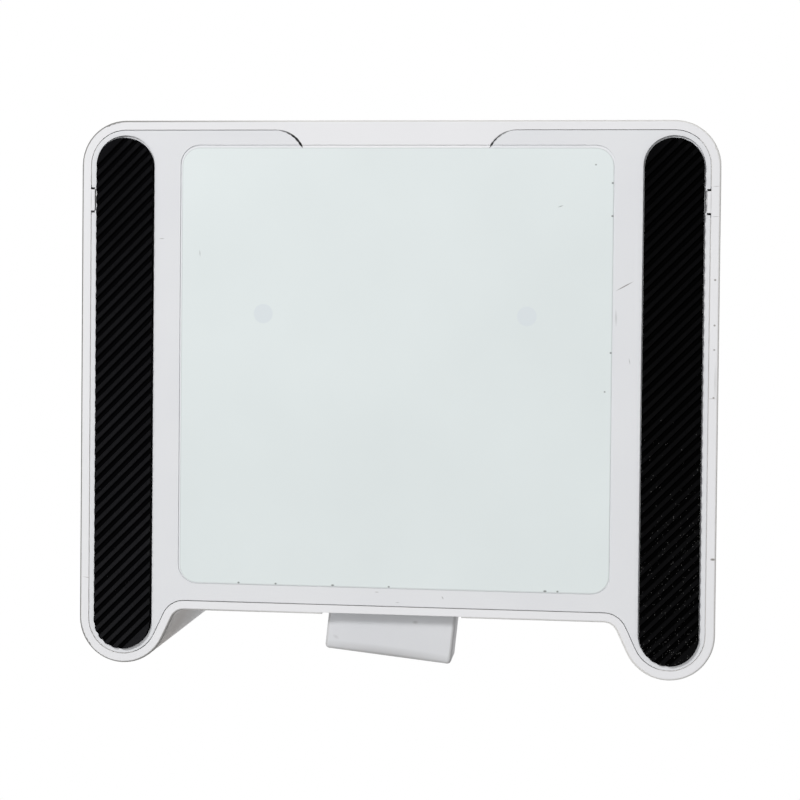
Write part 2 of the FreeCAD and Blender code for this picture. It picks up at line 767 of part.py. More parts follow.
def contact_nose():
    plan = new_body("nose_block")
    sketch = new_sketch(plan, "nose_block_plan", "XY_Plane", "nose_low")
    rounded_rectangle(sketch, both("nose_width / 2"), ("nose_tip", "ear_back + 2 * nose_round"), "nose_round")
    block = pad(plan, sketch, "nose_height")
    low = number("nose_low")
    tip = number("nose_tip")

    def lower_front(edge):
        return abs(edge.BoundBox.ZMax - low) < 1e-6 and edge.BoundBox.YMin < tip + number("nose_round")

    round_edges(plan, block, lower_front, "nose_edge")
    inside = "nose_width / 2 - nose_wall"
    ears = box("nose_ears", both("ear_width / 2"), ("ear_front", "ear_back"), ("nose_low", "nose_top"))
    hollow = box("nose_hollow", both(inside), ("nose_tip + nose_wall", "ear_back + overrun"),
                 ("nose_low + nose_wall", "nose_top - nose_wall"))
    trim = box("nose_back_trim", both("ear_width"), ("ear_back", "ear_back + 4 * nose_round"),
               ("nose_low - overrun", "nose_top + overrun"))
    shell = cut("nose_shell", fuse("nose_outside", plan, ears), hollow, trim)
    low_boss = rod("nose_low_boss", "z", "0", "0", "nose_low + nose_wall / 2", "boss_radius",
                   "arm_low - arm_play - nose_low - nose_wall / 2")
    high_boss = rod("nose_high_boss", "z", "0", "0", "arm_high + arm_play", "boss_radius",
                    "nose_top - nose_wall / 2 - arm_high - arm_play")
    boss_trim = box("boss_trim", both("boss_radius"), ("ear_back", "boss_radius + overrun"),
                    ("nose_low", "nose_top"))
    removed = [
        rod("nose_pin_hole", "z", "0", "0", "nose_low + nose_wall / 2", "pin_radius", "nose_height"),
        boss_trim,
    ]
    for side, sign in sides.items():
        removed.append(contact_leg(f"contact_front_bed_{side}", sign))
        removed.append(contact_top(f"contact_top_bed_{side}", sign))
    return on_nose(cut("contact_nose", fuse("nose_with_bosses", shell, low_boss, high_boss), *removed))


def contact_span(sign):
    middle = f"{sign} * contact_spread / 2"
    return (f"{middle} - contact_width / 2", f"{middle} + contact_width / 2")


def contact_leg(name, sign):
    return box(name, contact_span(sign), ("nose_tip", "nose_tip + contact_thickness"),
               ("nose_top - contact_drop", "nose_top"))


def contact_top(name, sign):
    return box(name, contact_span(sign), ("nose_tip", "ear_back"),
               ("nose_top - contact_thickness", "nose_top"))


def contact_strip(side, sign):
    """A bent metal strip, flush with the nose's front and top, with a solder tag behind the wall."""
    name = f"contact_strip_{side}"
    middle = f"{sign} * contact_spread / 2"
    tag = box(f"{name}_tag", (f"{middle} - tag_width / 2", f"{middle} + tag_width / 2"),
              ("ear_back - contact_thickness", "ear_back"),
              ("nose_top - contact_thickness", "nose_top + tag_height"))
    leg = contact_leg(f"{name}_leg", sign)
    top = contact_top(f"{name}_top", sign)
    return on_nose(fuse(name, leg, top, tag))


def pivot_pin():
    return rod("pivot_pin", "z", "0", "pivot_y", "nose_low + nose_wall / 2", "pin_radius",
               "nose_height - nose_wall / 2")


def nose_slider():
    """The carriage behind the nose, with the arm that holds the pivot pin."""
    block = box("slider_block", both("slider_width / 2"), ("slider_front", "slider_rear"),
                ("slider_low", "slider_top"))
    arm = box("slider_arm", both("arm_width / 2"), ("pivot_y", "slider_front + overrun"),
              ("arm_low", "arm_high"))
    arm_end = rod("slider_arm_end", "z", "0", "pivot_y", "arm_low", "arm_width / 2", "arm_height")
    peg = rod("slider_peg", "y", "0", "slider_rear - overrun", "spring_axis", "peg_radius",
              "peg_length + overrun")
    bore = rod("slider_bore", "z", "0", "pivot_y", "arm_low - overrun", "pin_radius + pin_slack",
               "arm_height + 2 * overrun")
    return cut("nose_slider", fuse("slider_moulding", block, arm, arm_end, peg), bore)


def nose_guide():
    """An inverted trough over the slider, with feet on the base plate and a back wall for the spring."""
    outside = box("guide_outside", both("guide_half + guide_wall"), ("guide_front", "guide_rear"),
                  ("plate_top", "guide_roof + guide_wall"))
    feet = box("guide_feet", both("guide_half + guide_wall + guide_foot"), ("guide_front", "guide_rear"),
               ("guide_foot_low", "guide_foot_low + guide_wall"))
    tunnel = box("guide_tunnel", both("guide_half"), ("guide_front - overrun", "guide_stop"),
                 ("plate_top - overrun", "guide_roof"))
    peg = rod("guide_peg", "y", "0", "guide_stop - peg_length", "spring_axis", "peg_radius",
              "peg_length + guide_wall / 2")
    bores = [
        rod(f"guide_bore_{side}_{end}", "z", f"{sign} * guide_screw_x", y, "guide_foot_low - overrun",
            "small_radius + screw_slack", "guide_wall + 2 * overrun")
        for side, sign in sides.items() for end, y in guide_screw_rows.items()]
    trough = cut("guide_trough", fuse("guide_moulding", outside, feet), tunnel, *bores)
    return fuse("nose_guide", trough, peg)


def guide_screws():
    return group("guide_screws", *[
        screw(f"guide_screw_{side}_{end}", "z", f"{sign} * guide_screw_x", y, "guide_foot_low + guide_wall",
              "small_head_radius", "small_head_height", "small_radius", "guide_wall + guide_screw_bite", -1)
        for side, sign in sides.items() for end, y in guide_screw_rows.items()])


def nose_spring():
    """A coil of square wire between the slider and the guide's back wall."""
    coil = doc.addObject("Part::Helix", "spring_coil")
    coil_height = "spring_space - spring_wire"
    coil.setExpression("Height", formula(coil_height))
    coil.setExpression("Pitch", formula(f"({coil_height}) / spring_turns"))
    coil.setExpression("Radius", formula("spring_radius"))
    section = doc.addObject("Part::RegularPolygon", "spring_section")
    section.Polygon = 4
    section.setExpression("Circumradius", formula("spring_wire / 2"))
    section.Placement = FreeCAD.Placement(FreeCAD.Vector(), FreeCAD.Rotation(FreeCAD.Vector(1, 0, 0), 90))
    section.setExpression("Placement.Base.x", formula("spring_radius"))
    doc.recompute()
    wire = doc.addObject("Part::Sweep", "nose_spring")
    wire.Sections = [section]
    wire.Spine = (coil, [f"Edge{i}" for i in range(1, len(coil.Shape.Edges) + 1)])
    wire.Solid = True
    wire.Frenet = True
    return stand(wire, "y", "0", "slider_rear + spring_wire / 2", "spring_axis")


def ir_window():
    """A smoked plate that fills the opening, with a lip behind the wall."""
    pane = rounded_panel("window_pane", both("window_width / 2"), ("front + window_set", "front_inside"),
                         ("window_low", "window_high"), "window_radius")
    lip = rounded_panel("window_lip_plate", both("window_width / 2 + window_lip"),
                        ("front_inside", "front_inside + window_lip_thickness"),
                        ("window_low - window_lip", "window_high + window_lip"),
                        "window_radius + window_lip")
    return fuse("ir_window", pane, lip)


led_places = {"left": "1 * led_spread", "centre": "0", "right": "-1 * led_spread"}


def ir_shroud():
    """A black block on the board with a flared hole in front of each beacon."""
    low = "window_middle - shroud_height / 2"
    front_face = "front_inside + window_lip_thickness + shroud_clear"
    block = box("shroud_block", both("shroud_width / 2"), (front_face, "board_front"),
                (low, f"{low} + shroud_height"))
    flares = []
    for side, x in led_places.items():
        flare = doc.addObject("Part::Cone", f"shroud_flare_{side}")
        flare.setExpression("Radius1", formula("shroud_mouth"))
        flare.setExpression("Radius2", formula("shroud_throat"))
        flare.setExpression("Height", formula(f"board_front - ({front_face})"))
        flares.append(stand(flare, "y", x, front_face, "window_middle"))
    return cut("ir_shroud", block, *flares)


def ir_led(side, x):
    name = f"ir_led_{side}"
    barrel = rod(f"{name}_barrel", "y", x, "board_front - led_length", "window_middle", "led_radius",
                 "led_length")
    rim = rod(f"{name}_rim", "y", x, "board_front - led_rim_height", "window_middle", "led_rim_radius",
              "led_rim_height")
    dome = doc.addObject("Part::Sphere", f"{name}_dome")
    dome.setExpression("Radius", formula("led_radius"))
    stand(dome, "y", x, "board_front - led_length", "window_middle")
    return fuse(name, barrel, rim, dome)


board_corners = {
    f"{side}_{level}": (f"{sign} * board_post_x / 2", z)
    for side, sign in sides.items()
    for level, z in (("low", "board_low + board_post_margin"), ("high", "board_high - board_post_margin"))}


def main_board():
    board = box("board_blank", both("board_width / 2"), ("board_front", "board_back"),
                ("board_low", "board_high"))
    holes = [
        rod(f"board_hole_{corner}", "y", x, "board_front - overrun", z, "board_hole_radius",
            "board_thickness + 2 * overrun")
        for corner, (x, z) in board_corners.items()]
    return cut("main_board", board, *holes)


def board_screws():
    return group("board_screws", *[
        screw(f"board_screw_{corner}", "y", x, z, "board_back", "small_head_radius", "small_head_height",
              "small_radius", "board_thickness + board_screw_bite", -1)
        for corner, (x, z) in board_corners.items()])


def header(name, x, width):
    return box(name, (f"{x} - {width} / 2", f"{x} + {width} / 2"), ("board_back", "board_back + header_depth"),
               ("header_low", "header_low + header_height"))


def dc_jack():
    """The power inlet, held in the pocket's inner wall by its collar and nut."""
    low = "jack_axis_height - jack_height / 2"
    block = box("jack_block", both("jack_width / 2"), ("pocket_front - jack_length", "pocket_front"),
                (low, f"{low} + jack_height"))
    collar = rod("jack_collar", "y", "0", "pocket_front - overrun", "jack_axis_height",
                 "jack_collar_radius", "jack_collar_length + overrun")
    mouth = "pocket_front + jack_collar_length"
    bore = rod("jack_bore", "y", "0", f"{mouth} - jack_bore_depth", "jack_axis_height", "jack_bore_radius",
               "jack_bore_depth + overrun")
    pin = rod("jack_pin", "y", "0", f"{mouth} - jack_bore_depth - overrun", "jack_axis_height",
              "jack_pin_radius", "jack_bore_depth")
    return fuse("dc_jack", cut("jack_socket", fuse("jack_moulding", block, collar), bore), pin)


def jack_nut():
    blank = doc.addObject("Part::Prism", "nut_blank")
    blank.Polygon = 6
    blank.setExpression("Circumradius", formula("nut_radius"))
    blank.setExpression("Height", formula("nut_height"))
    stand(blank, "y", "0", "pocket_front + wall", "jack_axis_height")
    hole = rod("nut_hole", "y", "0", "pocket_front + wall - overrun", "jack_axis_height",
               "jack_collar_radius + screw_slack", "nut_height + 2 * overrun")
    return cut("jack_nut", blank, hole)


def ballast_plate():
    y = ("ballast_front", "ballast_rear")
    blank = rounded_slab("ballast_blank", both("ballast_width / 2"), y, ("ballast_low", "ballast_top"),
                         "spacer_radius")
    holes = [
        rod(f"ballast_hole_{side}", "z", f"{sign} * ballast_spread / 2", "ballast_middle",
            "ballast_low - overrun", "small_radius + screw_slack", "ballast_thickness + 2 * overrun")
        for side, sign in sides.items()]
    return cut("ballast_plate", blank, *holes)


def ballast_screws():
    return group("ballast_screws", *[
        screw(f"ballast_screw_{side}", "z", f"{sign} * ballast_spread / 2", "ballast_middle", "ballast_top",
              "small_head_radius", "small_head_height", "small_radius",
              "ballast_thickness + guide_screw_bite", -1)
        for side, sign in sides.items()])


# Share of the shorter run that an arc may take on each side of a bend
bend_share = 0.45


def lead(name, route):
    """A round wire along straight runs joined by tangent arcs."""
    points = [FreeCAD.Vector(*[number(text) for text in point]) for point in route]
    runs = []
    here = points[0]
    for before, corner, after in zip(points, points[1:], points[2:]):
        back = (before - corner).normalize()
        on = (after - corner).normalize()
        reach = bend_share * min(before.distanceToPoint(corner), after.distanceToPoint(corner))
        half_turn = (math.pi - back.getAngle(on)) / 2
        radius = reach / math.tan(half_turn)
        toward = (back + on).normalize()
        middle = corner + toward * (radius / math.cos(half_turn) - radius)
        start, end = corner + back * reach, corner + on * reach
        runs.append(Part.LineSegment(here, start).toShape())
        runs.append(Part.Arc(start, middle, end).toShape())
        here = end
        print(f"{name}: bend radius {radius:.1f} mm")
    runs.append(Part.LineSegment(here, points[-1]).toShape())
    path = Part.Wire(runs)
    circle = Part.Circle(points[0], points[1] - points[0], number("lead_radius"))
    tube = path.makePipeShell([Part.Wire(circle.toShape())], True, True)
    expected = math.pi * number("lead_radius") ** 2 * path.Length
    if abs(tube.Volume / expected - 1) > 0.01:
        raise RuntimeError(f"{name}: its volume doesn't fit its length")
    wire = doc.addObject("Part::Feature", name)
    wire.Shape = tube
    return wire


def jack_lead(colour, sign):
    """From the inlet's back, over the ballast and the guide, to the power header."""
    start_x = f"{sign} * lead_pitch / 2"
    end_x = f"power_header_x + {sign} * lead_pitch / 2"
    header_z = "header_low + header_height / 2"
    jack_back = "pocket_front - jack_length"
    header_back = "board_back + header_depth"

    def share(start, end, part):
        return f"({start}) * (1 - {part}) + ({end}) * {part}"

    return lead(f"jack_lead_{colour}", [
        (start_x, jack_back, "jack_axis_height"),
        (start_x, share(jack_back, header_back, 0.17), "jack_axis_height"),
        (share(start_x, end_x, 0.4), share(jack_back, header_back, 0.4),
         share("jack_axis_height", header_z, 0.7)),
        (end_x, share(jack_back, header_back, 0.7), header_z),
        (end_x, header_back, header_z),
    ])


def contact_lead(colour, sign):
    """From a contact's tag, over the guide, to the contact header."""
    tag_x = f"{sign} * contact_spread / 2"
    start_x = f"{tag_x} * cos(nose_yaw) - ear_back * sin(nose_yaw)"
    start_y = f"pivot_y + {tag_x} * sin(nose_yaw) + ear_back * cos(nose_yaw)"
    tag_z = "nose_top + tag_height - lead_radius"
    end_x = f"{sign} * lead_pitch / 2"
    header_y = "board_back + header_depth / 2"
    return lead(f"contact_lead_{colour}", [
        (start_x, start_y, tag_z),
        (f"{start_x} - 2 * lead_rise * sin(nose_yaw)", f"{start_y} + 2 * lead_rise * cos(nose_yaw)", tag_z),
        (f"{end_x} * 1.7", f"{header_y} - lead_radius", f"{tag_z} + 2 * lead_radius"),
        (end_x, header_y, "header_low - lead_rise"),
        (end_x, header_y, "header_low"),
    ])


nodes = [
    housing(),
    base_plate(),
    bottom_film(),
    base_screws(),
    contact_nose(),
    pivot_pin(),
    nose_slider(),
    nose_guide(),
    guide_screws(),
    nose_spring(),
    ir_window(),
    ir_shroud(),
    main_board(),
    board_screws(),
    header("power_header", "power_header_x", "power_header_width"),
    header("contact_header", "0", "contact_header_width"),
    dc_jack(),
    jack_nut(),
    ballast_plate(),
    ballast_screws(),
]
for side, sign in sides.items():
    nodes.append(foot_strip(side, sign))
    nodes.append(contact_strip(side, sign))
for side, x in led_places.items():
    nodes.append(ir_led(side, x))
for colour, sign in (("red", "1"), ("black", "-1")):
    nodes.append(jack_lead(colour, sign))
    nodes.append(contact_lead(colour, sign))
doc.recompute()

for thing in doc.Objects:
    if "Invalid" in thing.State or "Error" in thing.State:
        raise RuntimeError(f"{thing.Label} failed: {thing.State}")
for node in nodes:
    if node.Shape.isNull() or not node.Shape.isValid() or not node.Shape.Solids:
        raise RuntimeError(f"{node.Label} has no valid solid")

os.makedirs("parts", exist_ok=True)
for node in nodes:
    node.Shape.exportStep(f"parts/{node.Label}.step")
    box_of = node.Shape.BoundBox
    print(f"{node.Label}: {len(node.Shape.Solids)} solid(s), {node.Shape.Volume:.0f} mm3, "
          f"x {box_of.XMin:.2f} {box_of.XMax:.2f}, y {box_of.YMin:.2f} {box_of.YMax:.2f}, "
          f"z {box_of.ZMin:.2f} {box_of.ZMax:.2f}")
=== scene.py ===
import math

import bmesh
import bpy
from mathutils import Matrix, Vector


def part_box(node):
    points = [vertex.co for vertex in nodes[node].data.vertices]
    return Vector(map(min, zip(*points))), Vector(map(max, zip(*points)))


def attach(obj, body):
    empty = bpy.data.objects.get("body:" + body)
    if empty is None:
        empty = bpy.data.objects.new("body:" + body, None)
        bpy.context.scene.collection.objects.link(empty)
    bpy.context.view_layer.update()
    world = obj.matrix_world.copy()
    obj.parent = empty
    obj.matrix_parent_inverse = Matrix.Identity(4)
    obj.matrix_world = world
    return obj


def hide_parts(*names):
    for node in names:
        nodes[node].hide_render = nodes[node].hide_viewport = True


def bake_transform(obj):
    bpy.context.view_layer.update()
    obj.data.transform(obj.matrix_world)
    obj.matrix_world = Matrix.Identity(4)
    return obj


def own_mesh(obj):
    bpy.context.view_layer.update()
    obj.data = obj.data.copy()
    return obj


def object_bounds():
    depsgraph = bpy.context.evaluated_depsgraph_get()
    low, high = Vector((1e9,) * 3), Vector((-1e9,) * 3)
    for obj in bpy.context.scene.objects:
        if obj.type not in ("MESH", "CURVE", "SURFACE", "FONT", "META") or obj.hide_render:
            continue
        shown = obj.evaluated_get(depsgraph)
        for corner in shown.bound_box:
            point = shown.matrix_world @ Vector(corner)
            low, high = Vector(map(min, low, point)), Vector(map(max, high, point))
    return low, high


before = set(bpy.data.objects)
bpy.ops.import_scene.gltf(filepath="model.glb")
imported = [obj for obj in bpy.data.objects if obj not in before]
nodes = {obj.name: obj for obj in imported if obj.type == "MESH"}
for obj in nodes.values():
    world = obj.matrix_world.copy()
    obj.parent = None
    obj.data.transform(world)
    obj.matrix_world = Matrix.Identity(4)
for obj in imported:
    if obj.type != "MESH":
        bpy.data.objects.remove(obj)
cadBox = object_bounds()
scene = bpy.context.scene
scene.view_settings.view_transform = "Standard"
mm = 0.001
print("frame loaded:", len(nodes), "nodes")


def hexColour(text):  # sRGB hex to linear
    parts = [int(text[i:i + 2], 16) / 255 for i in (1, 3, 5)]
    return tuple(c / 12.92 if c <= 0.04045 else ((c + 0.055) / 1.055) ** 2.4 for c in parts) + (1.0,)


def addNode(tree, kind, inputs=None, **settings):  # a socket given as an input is linked, a value is set
    node = tree.nodes.new(kind)
    for key, value in settings.items():
        setattr(node, key, value)
    for key, value in (inputs or {}).items():
        if isinstance(value, bpy.types.NodeSocket):
            tree.links.new(value, node.inputs[key])
        else:
            node.inputs[key].default_value = value
    return node


def layered(tree, ground, layers):  # colours laid over a ground one after the other, each by its share
    tone = ground
    for share, colour in layers:
        mix = addNode(tree, "ShaderNodeMix", {"Factor": share, "A": tone, "B": colour}, data_type="RGBA")
        tone = mix.outputs["Result"]
    return tone


def newMaterial(name):
    material = bpy.data.materials.new(name)
    material.use_nodes = True
    tree = material.node_tree
    shader = tree.nodes["Principled BSDF"]
    place = addNode(tree, "ShaderNodeTexCoord").outputs["Object"]
    return material, tree, shader, place


def patternScale(size):  # texture scale for features of that many millimetres
    return 1 / (size * mm)


# the photo looks up at the underside, from a little behind its right half
cameraSetup = {
    "place": (-49.66, 23.11, -416.09),  # mm
    "look": (0.11465, -0.02116, 0.99318),
    "up": (0.01221, 0.99973, 0.01989),
    "focalPixels": 1800,
    "framePixels": 800,
    "sensor": 36.0,  # mm
    "shift": (0.0, -0.08),  # the photo is cropped off its middle
    "clip": (10, 10000),  # mm
}


def makeCamera(s):
    data = bpy.data.cameras.new("photoCamera")
    data.sensor_width = s["sensor"]
    data.lens = s["focalPixels"] / s["framePixels"] * s["sensor"]
    data.shift_x, data.shift_y = s["shift"]
    data.clip_start, data.clip_end = (reach * mm for reach in s["clip"])
    camera = bpy.data.objects.new("photoCamera", data)
    look = Vector(s["look"]).normalized()
    up = Vector(s["up"])
    up = (up - look * up.dot(look)).normalized()
    right = look.cross(up)
    turn = Matrix((right, up, -look)).transposed()
    camera.matrix_world = Matrix.Translation(Vector(s["place"]) * mm) @ turn.to_4x4()
    scene.collection.objects.link(camera)
    scene.camera = camera


lampAim = (0, 0, 30)  # mm
lampSetup = {  # mm, mm, watts
    "underKey": {"place": (420, 560, -1250), "size": 220, "power": 10.4},
    "overKey": {"place": (520, -860, 330), "size": 900, "power": 6.6},
    "overFill": {"place": (-560, 820, 330), "size": 900, "power": 5.6},
}


def makeLamps(setup):
    for name, s in setup.items():
        data = bpy.data.lights.new(name, "AREA")
        data.size = s["size"] * mm
        data.energy = s["power"]
        lamp = bpy.data.objects.new(name, data)
        place = Vector(s["place"]) * mm
        turn = (Vector(lampAim) * mm - place).to_track_quat("-Z", "Y").to_matrix().to_4x4()
        lamp.matrix_world = Matrix.Translation(place) @ turn
        lamp.visible_camera = False
        scene.collection.objects.link(lamp)


def seenRays(tree):  # 1 for the rays that show a background: straight, in a gloss or through glass
    path = addNode(tree, "ShaderNodeLightPath").outputs
    seen = path["Is Camera Ray"]
    for kind in ("Is Glossy Ray", "Is Transmission Ray"):
        seen = addNode(tree, "ShaderNodeMath", {0: seen, 1: path[kind]}, operation="MAXIMUM").outputs[0]
    return seen


plainWhite = {"Color": (1, 1, 1, 1), "Strength": 1.0}
worldSetup = {"tint": "#f9f9f9", "horizon": 0.02, "pole": 1.8}


def makeWorld(s):
    world = bpy.data.worlds.new("studio")
    scene.world = world
    world.use_nodes = True
    tree = world.node_tree
    tree.nodes.clear()
    # light comes from above and below more than from the walls of the room
    sky = addNode(tree, "ShaderNodeTexCoord").outputs["Generated"]
    rise = addNode(tree, "ShaderNodeSeparateXYZ", {"Vector": sky}).outputs["Z"]
    for _ in range(2):  # squared twice, to the fourth power
        rise = addNode(tree, "ShaderNodeMath", {0: rise, 1: rise}, operation="MULTIPLY").outputs[0]
    level = addNode(tree, "ShaderNodeMapRange", {
        "Value": rise, "To Min": s["horizon"], "To Max": s["pole"]}).outputs["Result"]
    light = addNode(tree, "ShaderNodeBackground", {"Color": hexColour(s["tint"]), "Strength": level})
    white = addNode(tree, "ShaderNodeBackground", plainWhite)
    seen = seenRays(tree)
    mix = addNode(tree, "ShaderNodeMixShader", {0: seen, 1: light.outputs[0], 2: white.outputs[0]})
    addNode(tree, "ShaderNodeOutputWorld", {"Surface": mix.outputs[0]})


floorSetup = {
    "reach": 4000, "colour": "#f3f3f3", "fade": (180, 520),  # mm
    # where the dock covers it: the painted shadow's colour, the dock's corners and how far in from its edge
    # it darkens
    "shade": "#3a3a3a", "cornerRadius": 10.6, "edge": (0.2, 2.0),
    "front": -50.6, "toe": (64.4, -53.9),  # the front wall, and the middle of the left toe's round
}


def pastMiddle(tree, place, low, high, radius):  # distance out from a rounded box's core, in plan
    radius = radius * mm
    half = (high - low) / 2 - Vector((radius, radius, 0))
    past = place
    for operation, inputs in (
            ("SUBTRACT", {1: (low + high) / 2}),
            ("ABSOLUTE", {}),
            ("SUBTRACT", {1: half}),
            ("MAXIMUM", {1: (0, 0, 0)}),
            ("MULTIPLY", {1: (1, 1, 0)})):
        past = addNode(tree, "ShaderNodeVectorMath", {0: past, **inputs}, operation=operation).outputs[0]
    return addNode(tree, "ShaderNodeVectorMath", {0: past}, operation="LENGTH").outputs["Value"]


def underDock(tree, spot, s):  # 1 where the dock covers the floor, but not in the bay between its wings
    low, high = (Vector(corner) for corner in cadBox)
    rim, core = ((s["cornerRadius"] - edge) * mm for edge in s["edge"])
    axes = addNode(tree, "ShaderNodeSeparateXYZ", {"Vector": spot}).outputs
    body = addNode(tree, "ShaderNodeMapRange", {
        "Value": pastMiddle(tree, spot, low, high, s["cornerRadius"]), "From Min": rim, "From Max": core})
    behind = addNode(tree, "ShaderNodeMath", {0: axes["Y"], 1: s["front"] * mm}, operation="GREATER_THAN")
    body = addNode(tree, "ShaderNodeMath", {
        0: body.outputs["Result"], 1: behind.outputs[0]}, operation="MULTIPLY")
    across = addNode(tree, "ShaderNodeMath", {0: axes["X"]}, operation="ABSOLUTE")
    toes = addNode(tree, "ShaderNodeCombineXYZ", {"X": across.outputs[0], "Y": axes["Y"]})
    toes = addNode(tree, "ShaderNodeVectorMath", {
        0: toes.outputs[0], 1: Vector((*s["toe"], 0)) * mm}, operation="DISTANCE")
    toes = addNode(tree, "ShaderNodeMapRange", {
        "Value": toes.outputs["Value"], "From Min": rim, "From Max": core})
    return addNode(tree, "ShaderNodeMath", {
        0: body.outputs[0], 1: toes.outputs["Result"]}, operation="MAXIMUM").outputs[0]


def paleFloor(s):
    material = bpy.data.materials.new("paleFloor")
    material.use_nodes = True
    tree = material.node_tree
    tree.nodes.clear()
    # no light from below comes up through a real floor, so a painted shadow darkens it where the dock covers
    # it
    spot = addNode(tree, "ShaderNodeTexCoord").outputs["Object"]
    tone = layered(tree, hexColour(s["colour"]), [(underDock(tree, spot, s), hexColour(s["shade"]))])
    matte = addNode(tree, "ShaderNodeBsdfDiffuse", {"Color": tone})
    # past the object's shadow the floor runs out into the white background
    away = addNode(tree, "ShaderNodeVectorMath", {0: spot}, operation="LENGTH").outputs["Value"]
    near, far = (reach * mm for reach in s["fade"])
    away = addNode(tree, "ShaderNodeMapRange", {"Value": away, "From Min": near, "From Max": far},
                   interpolation_type="SMOOTHSTEP").outputs["Result"]
    white = addNode(tree, "ShaderNodeEmission", plainWhite)
    top = addNode(tree, "ShaderNodeMixShader", {0: away, 1: matte.outputs[0], 2: white.outputs[0]})
    # the floor shows from above only, so the underside is seen and lit through it
    below = addNode(tree, "ShaderNodeNewGeometry").outputs["Backfacing"]
    shown = addNode(tree, "ShaderNodeMath", {
        0: seenRays(tree), 1: below}, operation="SUBTRACT", use_clamp=True).outputs[0]
    clear = addNode(tree, "ShaderNodeBsdfTransparent")
    mix = addNode(tree, "ShaderNodeMixShader", {0: shown, 1: clear.outputs[0], 2: top.outputs[0]})
    addNode(tree, "ShaderNodeOutputMaterial", {"Surface": mix.outputs[0]})
    return material


def makeFloor(s):
    bm = bmesh.new()
    bmesh.ops.create_grid(bm, x_segments=1, y_segments=1, size=s["reach"] * mm)
    mesh = bpy.data.meshes.new("floor")
    bm.to_mesh(mesh)
    bm.free()
    mesh.materials.append(paleFloor(s))
    floor = bpy.data.objects.new("floor", mesh)
    scene.collection.objects.link(floor)


makeCamera(cameraSetup)
makeLamps(lampSetup)
makeWorld(worldSetup)
makeFloor(floorSetup)
print("stage set")

newPieces = {}
sharpAngle = 40  # degrees
sides = (("Left", 1), ("Right", -1))  # the sign of x


def keepPiece(bm, name, node=None):  # a closed mesh, smooth but for its sharp edges
    bmesh.ops.recalc_face_normals(bm, faces=bm.faces[:])
    for face in bm.faces:
        face.smooth = True
    for edge in bm.edges:
        edge.smooth = edge.calc_face_angle(0.0) < math.radians(sharpAngle)
    mesh = bpy.data.meshes.new(name)
    bm.to_mesh(mesh)
    bm.free()
    piece = bpy.data.objects.new(name, mesh)
    scene.collection.objects.link(piece)
    if node:
        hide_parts(node)
    newPieces[name] = piece
    return piece


def closeEnds(bm):
    bmesh.ops.holes_fill(bm, edges=[edge for edge in bm.edges if edge.is_boundary])


# a pressure spring of round wire, closed at both ends, that shortens as the nose is pushed in
springSetup = {
    "wire": 0.8, "play": 0.05, "closedPitch": 0.86, "travel": 7.0,  # mm
    "closedTurns": 1, "openTurns": 4, "turnSteps": 28, "wireSides": 10,
}


def makeSpring(s):
    low, high = (Vector(corner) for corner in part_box("nose_spring"))
    middle = (low + high) / 2
    wire = s["wire"] * mm / 2
    coil = (high.x - low.x) / 2 - wire
    start = low.y + s["play"] * mm + wire
    run = high.y - s["play"] * mm - wire - start
    openPitch = (run / mm - 2 * s["closedTurns"] * s["closedPitch"]) / s["openTurns"]
    bm = bmesh.new()
    bmesh.ops.create_circle(bm, segments=s["wireSides"], radius=wire,
                            matrix=Matrix.Translation((middle.x + coil, start, middle.z)))
    ring = bm.verts[:] + bm.edges[:]
    closed = (s["closedTurns"], s["closedPitch"])
    for turns, pitch in (closed, (s["openTurns"], openPitch), closed):  # no merge in a helix
        spun = bmesh.ops.spin(bm, geom=ring, cent=middle, axis=(0, 1, 0), angle=turns * math.tau,
                              dvec=(0, pitch * mm / s["turnSteps"], 0), steps=turns * s["turnSteps"])
        ring = spun["geom_last"]
    closeEnds(bm)
    spring = keepPiece(bm, "noseSpring", "nose_spring")
    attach(spring, "dock")
    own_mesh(spring)


# each contact lead is split in two where it lies on the carriage: one half on the side of the board's plug,
# the other on the side of the contact
leadSetup = {
    "split": -39.5, "slideBend": (26.0, 20.8), "turnBend": (-40.0, -43.0),  # mm along y, z and y
    "weld": 0.001, "cutReach": 0.0001,  # mm
    "leads": {"contactLeadRed": ("contact_lead_red", "wire_red"),
              "contactLeadBlack": ("contact_lead_black", "wire_black")},
}


def makeLeads(s):
    for name, (node, slotName) in s["leads"].items():
        for half in ("Board", "Nose"):
            bm = bmesh.new()
            bm.from_mesh(nodes[node].data)
            bmesh.ops.remove_doubles(bm, verts=bm.verts[:], dist=s["weld"] * mm)
            bmesh.ops.bisect_plane(bm, geom=bm.verts[:] + bm.edges[:] + bm.faces[:],
                                   plane_co=(0, s["split"] * mm, 0), plane_no=(0, 1, 0),
                                   dist=s["cutReach"] * mm,
                                   clear_inner=half == "Board", clear_outer=half == "Nose")
            closeEnds(bm)
            piece = keepPiece(bm, name + half, node)
            if half == "Board":
                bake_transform(piece)
            else:
                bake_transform(piece)


# house dust packed into the seam along both sides of the base plate, so that it hardly shows there
seamSetup = {
    "middle": 72.74, "radius": 0.05, "depth": (1.34, 1.42), "step": 1.5, "turnCentre": (64.4, 53.9),  # mm
    "sides": 8, "leastSteps": 2, "arcSteps": 24,
    "waves": (1.7, 0.6, 4.1),  # it settles unevenly, in a slow wave with a share of a quicker one
    # from y to y beside each snap lug, then round the corner by degrees
    "runs": {"Rear": (49.2, 53.9, 48), "Front": (42.2, -53.9, 108)},
}


def dustDepths(s, steps):
    slow, share, quick = s["waves"]
    shallow, deep = s["depth"]
    swells = [math.sin(slow * i + share * math.sin(quick * i)) for i in range(steps + 1)]
    return [shallow + (deep - shallow) * (1 + swell) / 2 for swell in swells]


